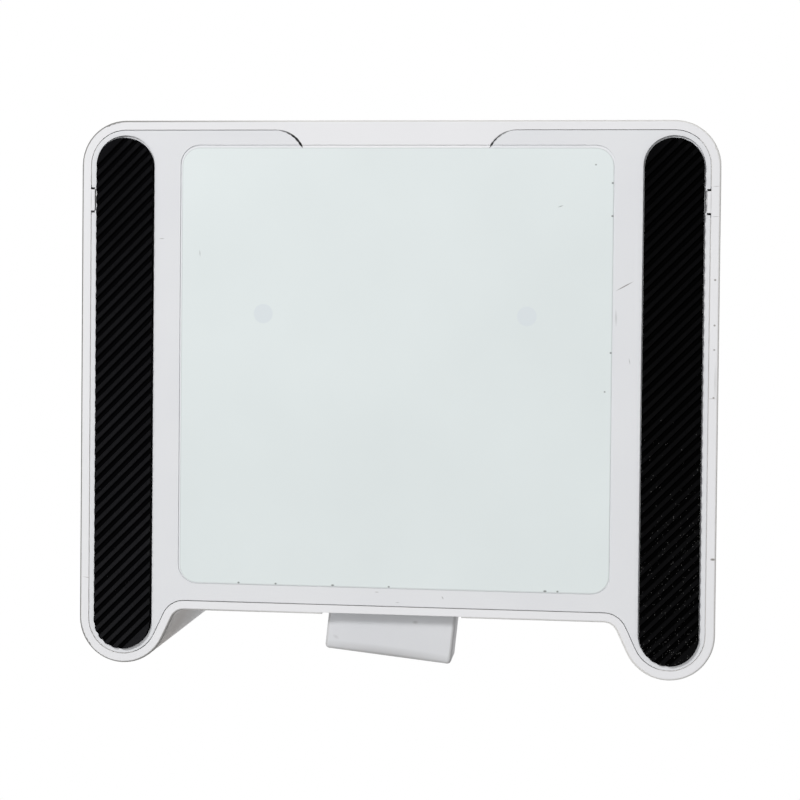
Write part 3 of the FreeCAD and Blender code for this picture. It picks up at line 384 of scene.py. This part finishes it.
def makeSeamDust(s):
    for side, sign in sides:
        for end, (start, stop, turn) in s["runs"].items():
            along = math.copysign(1, stop - start)
            steps = max(s["leastSteps"], round(abs(stop - start) / s["step"]))
            depths = dustDepths(s, steps)
            place = Vector((sign * s["middle"], start, depths[0])) * mm
            across = Matrix.Translation(place) @ Matrix.Rotation(math.pi / 2, 4, "X")
            bm = bmesh.new()
            bmesh.ops.create_circle(bm, segments=s["sides"], radius=s["radius"] * mm, matrix=across)
            ring = bm.edges[:]
            for before, after in zip(depths, depths[1:]):
                grown = bmesh.ops.extrude_edge_only(bm, edges=ring)["geom"]
                verts = [part for part in grown if isinstance(part, bmesh.types.BMVert)]
                move = Vector((0, (stop - start) / steps, after - before)) * mm
                bmesh.ops.translate(bm, verts=verts, vec=move)
                ring = [part for part in grown if isinstance(part, bmesh.types.BMEdge)
                        and all(vert in verts for vert in part.verts)]
            centre = Vector((sign * s["turnCentre"][0], along * s["turnCentre"][1], 0)) * mm
            bmesh.ops.spin(bm, geom=ring + verts, cent=centre, axis=(0, 0, 1),
                           angle=sign * along * math.radians(turn), steps=s["arcSteps"])
            closeEnds(bm)
            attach(keepPiece(bm, "seamDust" + side + end), "dock")


# webs of the base plate fill the inner corners of each snap lug's notch, so only its outer ends stay open
webSetup = {
    "inner": 71.39, "lugMiddle": 45.7, "lugHalf": 2.5, "gap": 0.5,  # mm: the notch and the lug in it
    "across": 0.5, "spare": 0.02, "heights": (1.25, 4.0), "round": 0.08, "roundSteps": 3,
}


def makeLugWebs(s):
    low, high = s["heights"]
    size = Vector((s["across"], s["gap"] - 2 * s["spare"], high - low)) * mm
    for side, sign in sides:
        for end, along in (("Rear", 1), ("Front", -1)):
            middle = Vector((sign * (s["inner"] + s["across"] / 2),
                             s["lugMiddle"] + along * (s["lugHalf"] + s["gap"] / 2), (low + high) / 2)) * mm
            bm = bmesh.new()
            bmesh.ops.create_cube(bm, size=1.0, matrix=Matrix.LocRotScale(middle, None, size))
            lower = [edge for edge in bm.edges if all(vert.co.z < middle.z for vert in edge.verts)]
            bmesh.ops.bevel(bm, geom=lower, offset=s["round"] * mm, offset_type="OFFSET", affect="EDGES",
                            segments=s["roundSteps"], profile=0.5, material=-1)
            web = keepPiece(bm, "lugWeb" + side + end)
            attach(web, "dock")


makeSpring(springSetup)
makeLeads(leadSetup)
makeSeamDust(seamSetup)
makeLugWebs(webSetup)
print("pieces made:", ", ".join(newPieces))

# sizes in mm; grains and specks too fine to show in the render are drawn as coarse as they need to show
patternSetup = {
    "markHeight": 2.0,  # how far a smear reaches above and below its level
    "markGain": 2.2,  # times its share this is a smear's strength at its middle, and 1 the most
    "noiseReach": (0.3, 0.7),  # most of a noise lies between these
    "grainDetail": 2.0,
}


def markMask(tree, place, marks, level):  # smears: x, y, half length, half width, turn in degrees, share
    total = 0.0
    for x, y, reach, breadth, turn, share in marks:
        spot = addNode(tree, "ShaderNodeMapping", {
            "Vector": place, "Location": (x * mm, y * mm, level * mm),
            "Rotation": (0.0, 0.0, math.radians(turn)),
            "Scale": (reach * mm, breadth * mm, patternSetup["markHeight"] * mm)}, vector_type="TEXTURE")
        fade = addNode(tree, "ShaderNodeTexGradient", {
            "Vector": spot.outputs[0]}, gradient_type="SPHERICAL").outputs["Fac"]
        part = addNode(tree, "ShaderNodeMath", {
            0: fade, 1: patternSetup["markGain"] * share}, operation="MULTIPLY", use_clamp=True).outputs[0]
        total = addNode(tree, "ShaderNodeMath", {0: part, 1: total}, operation="MAXIMUM").outputs[0]
    return total


def speckMask(tree, place, cell, radius, share):  # sparse dots in that share of the cells
    spots = addNode(tree, "ShaderNodeTexVoronoi", {"Vector": place, "Scale": patternScale(cell)}).outputs
    near = addNode(tree, "ShaderNodeMath", {0: spots["Distance"], 1: radius / cell}, operation="LESS_THAN")
    pick = addNode(tree, "ShaderNodeSeparateColor", {"Color": spots["Color"]})
    pick = addNode(tree, "ShaderNodeMath", {0: pick.outputs["Red"], 1: share}, operation="LESS_THAN")
    return addNode(tree, "ShaderNodeMath", {
        0: near.outputs[0], 1: pick.outputs[0]}, operation="MULTIPLY").outputs[0]


def wander(tree, place, size, low=0.0, high=1.0, detail=3.0):  # drifts between two ends, in patches
    noise = addNode(tree, "ShaderNodeTexNoise", {
        "Vector": place, "Scale": patternScale(size), "Detail": detail}).outputs["Fac"]
    least, most = patternSetup["noiseReach"]
    return addNode(tree, "ShaderNodeMapRange", {
        "Value": noise, "From Min": least, "From Max": most,
        "To Min": low, "To Max": high}).outputs["Result"]


def grain(tree, place, size, depth):  # normals of a fine relief
    height = addNode(tree, "ShaderNodeTexNoise", {
        "Vector": place, "Scale": patternScale(size), "Detail": patternSetup["grainDetail"]}).outputs["Fac"]
    return addNode(tree, "ShaderNodeBump", {
        "Height": height, "Strength": 1.0, "Distance": depth * mm}).outputs["Normal"]


# ABS, injection moulded against a spark-eroded tool: an even satin white with a very fine grain,
# a few specks, and painted shade in the small round of its lower edge, darker on the left; level is the
# height of the face that has the marks, line the painted shade's colours on the left and right, and lineFade
# where it runs out
absSetup = {
    "patch": 28, "rub": 18, "grain": (0.7, 0.01), "specks": (9, 0.17, 0.16), "specular": 0.06,
    "edgeTurn": (-0.985, -0.88),  # the normal's z where the painted edge shade starts and where it is full
    "lineSides": (74, 22),  # along x, from the line's left colour to its right one
}
absFinishes = {
    "housing": {
        "name": "satinAbsHousing", "colour": "#e4e4e6", "shade": "#e1e1e3", "markTone": "#8d8a86",
        "level": 1.2, "joint": True, "roughness": (0.45, 0.48),
        # painted shade in the round of the lower edge, darker on the left
        "line": ("#7b7a78", "#d2d1cf"), "lineFade": (1.9, 2.7),
        # painted shade, a warm grey, low on the wings' inner walls
        "wingShade": {"colour": "#c6c0bb", "share": (0.5, 0.95), "patch": 26,
                 "inward": (-5, -30), "fade": (16, 58)},
        "marks": ((-74.2, -36.2, 0.7, 0.35, 0, 0.8), (72.9, -44.4, 1.7, 0.12, 10, 0.35),
                  (-73.9, 27.9, 0.35, 0.3, 0, 0.7), (-73.9, 17.5, 0.35, 0.3, 0, 0.6),
                  (-73.9, 11.9, 0.35, 0.3, 0, 0.5), (-73.9, 0.9, 0.35, 0.3, 0, 0.6),
                  (-74.2, 4.3, 5.3, 0.3, 90, 0.15), (-73.9, 49.3, 1.0, 0.12, 0, 0.3),
                  (-73.9, 42.4, 1.0, 0.12, 0, 0.3), (-73.6, 0.7, 1.4, 0.12, 0, 0.3),
                  # painted shade: the last two marks draw a seam line along each snap lug
                  (72.74, 45.7, 4.0, 0.14, 90, 0.3), (-72.74, 45.7, 4.0, 0.14, 90, 0.3)),
    },
    "base_plate": {
        "name": "satinAbsPlate", "colour": "#dedfe1", "shade": "#dadbde", "markTone": "#8f8d8c",
        "level": 1.2, "joint": True, "roughness": (0.48, 0.52),
        "line": ("#dadbde", "#dadbde"), "lineFade": (1.9, 2.7),
        "marks": ((-53.4, 26.3, 2.5, 0.16, -29, 0.75), (55.5, 36.6, 0.8, 0.12, 0, 0.4),
                  (-51.5, 19.0, 2.2, 0.3, 88, 0.2), (-54.7, 9.0, 0.9, 0.15, 80, 0.3),
                  (3.4, -45.9, 0.6, 0.12, 0, 0.4), (-12.1, -46.8, 0.5, 0.2, 60, 0.35),
                  (-1.5, -48.2, 0.6, 0.12, 0, 0.3)),
        "webs": ("lugWebLeftRear", "lugWebLeftFront", "lugWebRightRear", "lugWebRightFront"),
    },
    "contact_nose": {
        "name": "satinAbsNose", "colour": "#d2d3d5", "shade": "#cdced1", "markTone": "#8f8d8c",
        "level": 8.1, "joint": False, "roughness": (0.36, 0.44),
        # painted shade along the nose's lower edge
        "line": ("#c4c4c5", "#c4c4c5"), "lineFade": (9.2, 10.5),
        "marks": ((-5.0, -54.0, 0.9, 0.5, 0, 0.2), (14.0, -58.0, 1.0, 0.5, 30, 0.12),
                  # painted shade: the last mark darkens the front edge where it rounds away from the light
                  (1.4, -62.0, 24, 2.2, 5.8, 0.26)),
    },
}

# painted shade in the round joints at both ends of the tongue, where the gap opens wider, darker at the left
# one
jointShade = {
    "colour": "#1e1e1e", "centre": (28.37, 55.19), "radius": 7.0,  # mm
    # degrees round the joint, half length, half width and share of each smear
    "Left": ((57, 1.0, 0.36, 1.0), (47, 1.3, 0.36, 1.0), (37, 1.3, 0.34, 0.85),
             (27, 1.3, 0.32, 0.6), (17, 1.3, 0.28, 0.35)),
    "Right": ((57, 1.0, 0.34, 0.7), (47, 1.3, 0.32, 0.55), (37, 1.3, 0.32, 0.45), (27, 1.3, 0.3, 0.3)),
}


def jointShadeMarks(s):  # painted shade, as smears in a row along each joint's arc
    marks = []
    for side, sign in sides:
        for turn, reach, breadth, share in s[side]:
            x = s["centre"][0] - s["radius"] * math.sin(math.radians(turn))
            y = s["centre"][1] + s["radius"] * math.cos(math.radians(turn))
            marks.append((sign * x, y, reach, breadth, sign * turn, share))
    return marks


def paintedWingShade(tree, place, axes, facing, s):  # painted shade low on the wings' inner walls, in patches
    start, full = (inward * mm for inward in s["inward"])
    bottom, top = (height * mm for height in s["fade"])
    # below zero where a wall faces the middle of the dock
    inward = addNode(tree, "ShaderNodeMath", {0: axes["X"], 1: facing["X"]}, operation="MULTIPLY")
    inward = addNode(tree, "ShaderNodeMapRange", {
        "Value": inward.outputs[0], "From Min": start, "From Max": full})
    low = addNode(tree, "ShaderNodeMapRange", {
        "Value": axes["Z"], "From Min": top, "From Max": bottom}, interpolation_type="SMOOTHSTEP")
    covered = addNode(tree, "ShaderNodeMath", {
        0: inward.outputs["Result"], 1: low.outputs["Result"]}, operation="MULTIPLY")
    patches = wander(tree, place, s["patch"], *s["share"])
    return addNode(tree, "ShaderNodeMath", {
        0: covered.outputs[0], 1: patches}, operation="MULTIPLY").outputs[0]


def paintedEdgeShade(tree, axes, facing, s):  # share and colour of the painted shade where the lower edge turns up
    start, full = absSetup["edgeTurn"]
    left, right = (side * mm for side in absSetup["lineSides"])
    bottom, top = (height * mm for height in s["lineFade"])
    turned = addNode(tree, "ShaderNodeMapRange", {
        "Value": facing["Z"], "From Min": start, "From Max": full})
    low = addNode(tree, "ShaderNodeMapRange", {
        "Value": axes["Z"], "From Min": bottom, "From Max": top, "To Min": 1.0, "To Max": 0.0})
    share = addNode(tree, "ShaderNodeMath", {
        0: turned.outputs["Result"], 1: low.outputs["Result"]}, operation="MULTIPLY")
    across = addNode(tree, "ShaderNodeMapRange", {"Value": axes["X"], "From Min": left, "From Max": right})
    leftLine, rightLine = (hexColour(colour) for colour in s["line"])
    return share.outputs[0], layered(tree, leftLine, [(across.outputs["Result"], rightLine)])


def satinAbs(s):
    material, tree, shader, place = newMaterial(s["name"])
    axes = addNode(tree, "ShaderNodeSeparateXYZ", {"Vector": place}).outputs
    facing = addNode(tree, "ShaderNodeTexCoord").outputs["Normal"]
    facing = addNode(tree, "ShaderNodeSeparateXYZ", {"Vector": facing}).outputs
    layers = [(wander(tree, place, absSetup["patch"]), hexColour(s["shade"]))]
    # painted shade low on the wings' inner walls
    if "wingShade" in s:
        layers.append((paintedWingShade(tree, place, axes, facing, s["wingShade"]), hexColour(s["wingShade"]["colour"])))
    layers.append(paintedEdgeShade(tree, axes, facing, s))
    smears = markMask(tree, place, s["marks"], s["level"])
    specks = speckMask(tree, place, *absSetup["specks"])
    markTone = addNode(tree, "ShaderNodeMath", {0: smears, 1: specks}, operation="MAXIMUM")
    layers.append((markTone.outputs[0], hexColour(s["markTone"])))
    # painted shade in the tongue's round joints
    if s["joint"]:
        jointShadeShare = markMask(tree, place, jointShadeMarks(jointShade), s["level"])
        layers.append((jointShadeShare, hexColour(jointShade["colour"])))
    tree.links.new(layered(tree, hexColour(s["colour"]), layers), shader.inputs["Base Color"])
    tree.links.new(wander(tree, place, absSetup["rub"], *s["roughness"]), shader.inputs["Roughness"])
    tree.links.new(grain(tree, place, *absSetup["grain"]), shader.inputs["Normal"])
    shader.inputs["Specular IOR Level"].default_value = absSetup["specular"]
    return material


# rubber, compression moulded: black and almost without gloss, greyer on the crests that stand on the floor,
# with painted shade blackening the grooves with their depth, and pale house dust caught toward the front
rubberSetup = {
    "relief": 0.3,  # from a crest to where the painted shade makes the groove black
    "greyingReach": (45.0, -45.0),  # along y, from darker crests to greyer ones toward the front
    "dustReach": (0.0, -50.0),  # along y, from clean to dusty
    "blotch": (14, 0.0, 0.3, 4.0),  # size, least, most and detail of the blacker places on the crests
    "drift": 9, "specks": (0.4, 0.07),
    "rub": 6, "roughness": (0.72, 0.88), "grain": (0.35, 0.02), "specular": 0.03,
}
rubberFinishes = {
    # same rubber in both strips: the left one's greyer tones against the right one's blacker ones are
    # painted light
    "foot_strip_left": {
        "name": "mouldedRubberLeft", "crest": ("#121214", "#1e1e20"), "groove": "#030304",
        "dust": "#4a4a4a", "covered": 0.05,
    },
    "foot_strip_right": {
        "name": "mouldedRubberRight", "crest": ("#080809", "#0d0d0e"), "groove": "#010101",
        "dust": "#666664", "covered": 0.6,
    },
}


def mouldedRubber(s):
    material, tree, shader, place = newMaterial(s["name"])
    axes = addNode(tree, "ShaderNodeSeparateXYZ", {"Vector": place}).outputs
    dark, grey = (y * mm for y in rubberSetup["greyingReach"])
    clean, covered = (y * mm for y in rubberSetup["dustReach"])
    front = addNode(tree, "ShaderNodeMapRange", {"Value": axes["Y"], "From Min": dark, "From Max": grey})
    # painted shade: the grooves go black with their depth
    depth = addNode(tree, "ShaderNodeMapRange", {
        "Value": axes["Z"], "From Max": rubberSetup["relief"] * mm})
    blotches = wander(tree, place, *rubberSetup["blotch"])
    black = addNode(tree, "ShaderNodeMath", {
        0: blotches, 1: depth.outputs["Result"]}, operation="ADD", use_clamp=True)
    share = addNode(tree, "ShaderNodeMapRange", {
        "Value": axes["Y"], "From Min": clean, "From Max": covered, "To Max": s["covered"]})
    share = addNode(tree, "ShaderNodeMath", {
        0: share.outputs["Result"], 1: wander(tree, place, rubberSetup["drift"])}, operation="MULTIPLY")
    specks = speckMask(tree, place, *rubberSetup["specks"], share.outputs[0])
    tone = layered(tree, hexColour(s["crest"][0]), [
        (front.outputs["Result"], hexColour(s["crest"][1])),
        (black.outputs[0], hexColour(s["groove"])),
        (specks, hexColour(s["dust"]))])
    tree.links.new(tone, shader.inputs["Base Color"])
    roughness = wander(tree, place, rubberSetup["rub"], *rubberSetup["roughness"])
    tree.links.new(roughness, shader.inputs["Roughness"])
    tree.links.new(grain(tree, place, *rubberSetup["grain"]), shader.inputs["Normal"])
    shader.inputs["Specular IOR Level"].default_value = rubberSetup["specular"]
    return material


# polycarbonate film, cast, matted on its face and die-cut: cool white, with a thin grey line along its edge
filmFinish = {
    "name": "satinFilm", "colour": "#dde4e4", "shade": "#d9e0e0", "markTone": "#858a89", "hollow": "#d5dcdf",
    "level": 1.3, "edge": "#ccd2d2", "edgeWidth": 0.2, "cornerRadius": 4.25,
    "patch": 40, "rub": 22, "roughness": (0.46, 0.56), "grain": (0.5, 0.004), "specks": (11, 0.16, 0.16),
    "ior": 1.57, "specular": 0.3,
    "marks": ((-38.5, 44.6, 0.8, 0.14, -18, 0.5), (46.3, 33.2, 1.0, 0.12, 86, 0.4),
              (-46.5, 54.2, 0.3, 0.25, 0, 0.6), (-49.1, 1.9, 0.3, 0.25, 0, 0.6),
              (-50.4, 50.0, 0.35, 0.3, 0, 0.8), (-50.4, 42.4, 0.35, 0.3, 0, 0.8),
              (-50.4, 10.9, 0.35, 0.3, 0, 0.7), (36.4, -44.6, 0.35, 0.3, 0, 0.8),
              (27.5, -44.6, 0.35, 0.3, 0, 0.7), (13.9, -44.6, 0.5, 0.3, 0, 0.7),
              (0.6, -44.6, 0.35, 0.3, 0, 0.7), (-35.9, -44.6, 0.5, 0.3, 0, 0.8),
              (-38.8, -44.6, 0.35, 0.3, 0, 0.7)),
    "hollows": ((31.0, 19.1, 2.4, 2.4, 0, 4.0), (-31.0, 19.1, 2.4, 2.4, 0, 4.0)),
}


def cutEdge(tree, place, s):  # 1 within a thin line along the film's rounded outline
    low, high = (Vector(corner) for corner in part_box("bottom_film"))
    reach = pastMiddle(tree, place, low, high, s["cornerRadius"])
    line = (s["cornerRadius"] - s["edgeWidth"]) * mm
    return addNode(tree, "ShaderNodeMath", {0: reach, 1: line}, operation="GREATER_THAN").outputs[0]


def satinFilm(s):
    material, tree, shader, place = newMaterial(s["name"])
    hollows = markMask(tree, place, s["hollows"], s["level"])  # the dark screw holes show through a little
    smears = markMask(tree, place, s["marks"], s["level"])
    specks = speckMask(tree, place, *s["specks"])
    markTone = addNode(tree, "ShaderNodeMath", {0: smears, 1: specks}, operation="MAXIMUM")
    tone = layered(tree, hexColour(s["colour"]), [
        (wander(tree, place, s["patch"]), hexColour(s["shade"])),
        (hollows, hexColour(s["hollow"])),
        (cutEdge(tree, place, s), hexColour(s["edge"])),
        (markTone.outputs[0], hexColour(s["markTone"]))])
    tree.links.new(tone, shader.inputs["Base Color"])
    tree.links.new(wander(tree, place, s["rub"], *s["roughness"]), shader.inputs["Roughness"])
    tree.links.new(grain(tree, place, *s["grain"]), shader.inputs["Normal"])
    shader.inputs["IOR"].default_value = s["ior"]
    shader.inputs["Specular IOR Level"].default_value = s["specular"]
    return material


# patch is the drift of the tone, rub of the gloss, grain of the relief, in mm; stretch draws them out along
# an axis, as rolling, drawing or wiping does
plainSpecular = 0.5
madeFinishes = {
    # acrylic, moulded and polished: near black with a violet cast, its gloss dulled where it was wiped
    "polishedSmokedAcrylic": {
        "colour": "#0d0c0f", "shade": "#15121a", "patch": 30, "roughness": (0.05, 0.16), "rub": 9,
        "grain": 5.0, "depth": 0.003, "metal": 0.0, "specular": 0.3, "stretch": (3, 1, 1),
        "nodes": ("ir_window",)},
    # ABS, moulded in a grained tool: dull black, a little grey where it was handled
    "grainedBlackAbs": {
        "colour": "#131313", "shade": "#1d1d1d", "patch": 6, "roughness": (0.48, 0.62), "rub": 5,
        "grain": 0.5, "depth": 0.03, "metal": 0.0, "stretch": (1, 1, 1), "nodes": ("ir_shroud", "dc_jack")},
    # brass, nickel plated over its brushed face: silver with fine lines that spread the gloss
    "brushedNickel": {
        "colour": "#b2b2b1", "shade": "#a7a7a5", "patch": 0.4, "roughness": (0.2, 0.26), "rub": 0.3,
        "grain": 0.12, "depth": 0.001, "metal": 1.0, "stretch": (1, 16, 16),
        "nodes": ("contact_strip_left", "contact_strip_right", "jack_nut")},
    # steel, barrel zinc plated: blue-grey and yellow-grey blotches, a soft gloss
    "zincPlatedSteel": {
        "colour": "#b3b5ba", "shade": "#c2bfb4", "patch": 3, "roughness": (0.3, 0.44), "rub": 2,
        "grain": 0.3, "depth": 0.01, "metal": 1.0, "stretch": (1, 1, 1),
        "nodes": ("base_screws", "pivot_pin", "guide_screws", "board_screws", "ballast_screws")},
    # spring wire, drawn: bright grey with faint lines along the draw
    "drawnSpringSteel": {
        "colour": "#a9aaad", "shade": "#8e8f92", "patch": 1, "roughness": (0.24, 0.38), "rub": 0.8,
        "grain": 0.15, "depth": 0.005, "metal": 1.0, "stretch": (1, 1, 6), "nodes": ("noseSpring",)},
    # steel strip, hot rolled and zinc plated: grey, streaked along the rolling
    "rolledBallastSteel": {
        "colour": "#9fa1a5", "shade": "#b2b0a8", "patch": 4, "roughness": (0.36, 0.52), "rub": 3,
        "grain": 0.6, "depth": 0.02, "metal": 1.0, "stretch": (10, 1, 1), "nodes": ("ballast_plate",)},
    # acetal, moulded: waxy off-white with an even sheen
    "waxyAcetal": {
        "colour": "#deded9", "shade": "#d5d5cf", "patch": 9, "roughness": (0.34, 0.44), "rub": 6,
        "grain": 0.8, "depth": 0.008, "metal": 0.0, "stretch": (1, 1, 1),
        "nodes": ("nose_slider", "nose_guide")},
    # fibreglass board under solder mask: deep green, darker between the tracks, its weave faint in the gloss
    "solderMaskBoard": {
        "colour": "#23663f", "shade": "#174a2d", "patch": 1.6, "roughness": (0.26, 0.4), "rub": 1.2,
        "grain": 0.5, "depth": 0.015, "metal": 0.0, "stretch": (5, 1, 1), "nodes": ("main_board",)},
    # nylon, moulded: ivory, slightly blotchy from the water it took up
    "ivoryNylon": {
        "colour": "#e4e0d4", "shade": "#d8d2c2", "patch": 3, "roughness": (0.4, 0.52), "rub": 2,
        "grain": 0.4, "depth": 0.012, "metal": 0.0, "stretch": (1, 1, 1),
        "nodes": ("power_header", "contact_header")},
    # epoxy, cast round the diode: violet-black, glassy, with faint flow lines
    "tintedEpoxy": {
        "colour": "#3a3048", "shade": "#2a2236", "patch": 2, "roughness": (0.08, 0.16), "rub": 2,
        "grain": 1.5, "depth": 0.004, "metal": 0.0, "stretch": (1, 3, 1),
        "nodes": ("ir_led_left", "ir_led_centre", "ir_led_right")},
    # PVC, extruded over the wire: soft red, faint streaks along the run
    "extrudedRedPvc": {
        "colour": "#b22c26", "shade": "#9c241f", "patch": 2, "roughness": (0.36, 0.48), "rub": 2,
        "grain": 0.3, "depth": 0.01, "metal": 0.0, "stretch": (1, 6, 1),
        "nodes": ("jack_lead_red", "contactLeadRedBoard", "contactLeadRedNose")},
    # PVC, extruded over the wire: soft black, faint streaks along the run
    "extrudedBlackPvc": {
        "colour": "#1b1b1b", "shade": "#262626", "patch": 2, "roughness": (0.36, 0.48), "rub": 2,
        "grain": 0.3, "depth": 0.01, "metal": 0.0, "stretch": (1, 6, 1),
        "nodes": ("jack_lead_black", "contactLeadBlackBoard", "contactLeadBlackNose")},
    # house dust, trodden and packed: pale felted grey without gloss
    "packedHouseDust": {
        "colour": "#dedcd9", "shade": "#c9c6c2", "patch": 1.5, "roughness": (0.86, 0.96), "rub": 1,
        "grain": 0.2, "depth": 0.02, "metal": 0.0, "specular": 0.1, "stretch": (1, 4, 1),
        "nodes": ("seamDustLeftRear", "seamDustLeftFront", "seamDustRightRear", "seamDustRightFront")},
}


def madeMaterial(name, s):
    material, tree, shader, place = newMaterial(name)
    drawn = addNode(tree, "ShaderNodeMapping", {
        "Vector": place, "Scale": s["stretch"]}, vector_type="TEXTURE").outputs[0]
    tone = layered(tree, hexColour(s["colour"]), [(wander(tree, drawn, s["patch"]), hexColour(s["shade"]))])
    tree.links.new(tone, shader.inputs["Base Color"])
    tree.links.new(wander(tree, drawn, s["rub"], *s["roughness"]), shader.inputs["Roughness"])
    tree.links.new(grain(tree, drawn, s["grain"], s["depth"]), shader.inputs["Normal"])
    shader.inputs["Metallic"].default_value = s["metal"]
    shader.inputs["Specular IOR Level"].default_value = s.get("specular", plainSpecular)
    return material


def dress(name, material):  # a new piece, or else a node of the frame
    mesh = (newPieces.get(name) or nodes[name]).data
    mesh.materials.clear()
    mesh.materials.append(material)


for node, finish in absFinishes.items():
    material = satinAbs(finish)
    for name in (node, *finish.get("webs", ())):
        dress(name, material)
for node, finish in rubberFinishes.items():
    dress(node, mouldedRubber(finish))
dress("bottom_film", satinFilm(filmFinish))
for kind, finish in madeFinishes.items():
    material = madeMaterial(kind, finish)
    for name in finish["nodes"]:
        dress(name, material)
print("finishes done")
